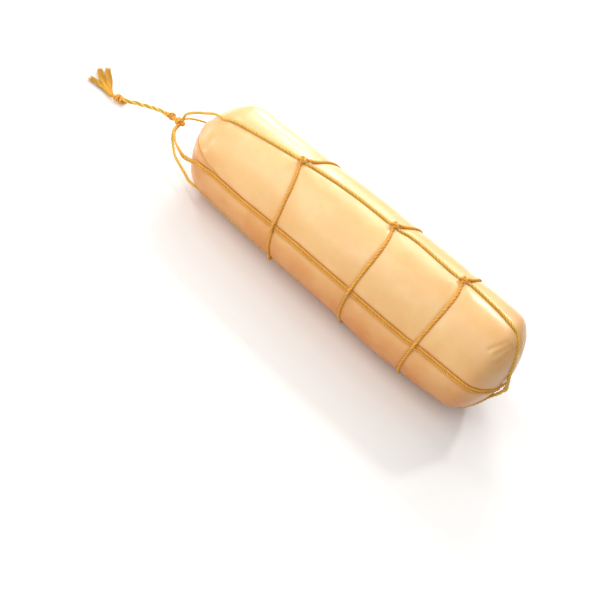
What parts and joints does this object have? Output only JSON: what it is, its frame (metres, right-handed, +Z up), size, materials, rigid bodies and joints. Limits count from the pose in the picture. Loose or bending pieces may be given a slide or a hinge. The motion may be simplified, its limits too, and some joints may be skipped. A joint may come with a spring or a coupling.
{
  "type": "sweet provolone",
  "caption": "Long salami-shaped whole cheese with rounded ends and a smooth waxed rind, tied in a net of cord that gathers at one end in a knot with a free tail and a tassel.",
  "frame": {"origin": "on the surface that the cheese lies on, under the middle of the cheese and its net", "axes": "+X runs along the cheese from its hanging end, where the cords gather, to its foot; +Z is up"},
  "size_m": [0.6043, 0.135, 0.1316],
  "materials": {
    "rind": "satin, thinly waxed, slightly mottled rind",
    "cord": "golden twisted cord, a little fuzzy"
  },
  "bodies": {
    "root": {"cheese": "rind", "cord_top_and_under": "cord", "cord_front_and_far": "cord", "cord_front_second": "cord", "ring_cord_1": "cord", "ring_cord_2": "cord", "ring_cord_3": "cord", "gather_knot": "cord", "tail_cord": "cord", "end_knot": "cord", "tassel": "cord"}
  },
  "joints": []
}
